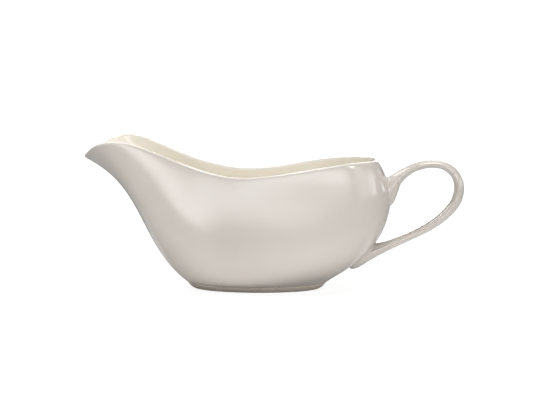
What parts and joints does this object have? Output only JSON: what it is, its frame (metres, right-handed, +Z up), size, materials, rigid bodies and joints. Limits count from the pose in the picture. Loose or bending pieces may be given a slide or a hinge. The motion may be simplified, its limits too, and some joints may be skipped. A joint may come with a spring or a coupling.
{
  "type": "gravy boat",
  "caption": "Glazed china gravy boat with a broad flared pouring lip, a dipped rim, a low oval foot and a loop handle stuck on behind.",
  "frame": {"origin": "centre of the oval foot, on the plane it rests on", "axes": "+Z up; -X from the foot towards the spout, +X towards the handle; +Y across the boat, which is the same on both sides of the XZ plane"},
  "size_m": [0.2153, 0.0904, 0.085],
  "materials": {
    "glaze": "gloss",
    "foot": "satin"
  },
  "bodies": {
    "root": {"bowl": "glaze", "foot_ring": "foot", "handle": "glaze", "upper_slip": "glaze", "lower_slip": "glaze"}
  },
  "joints": []
}
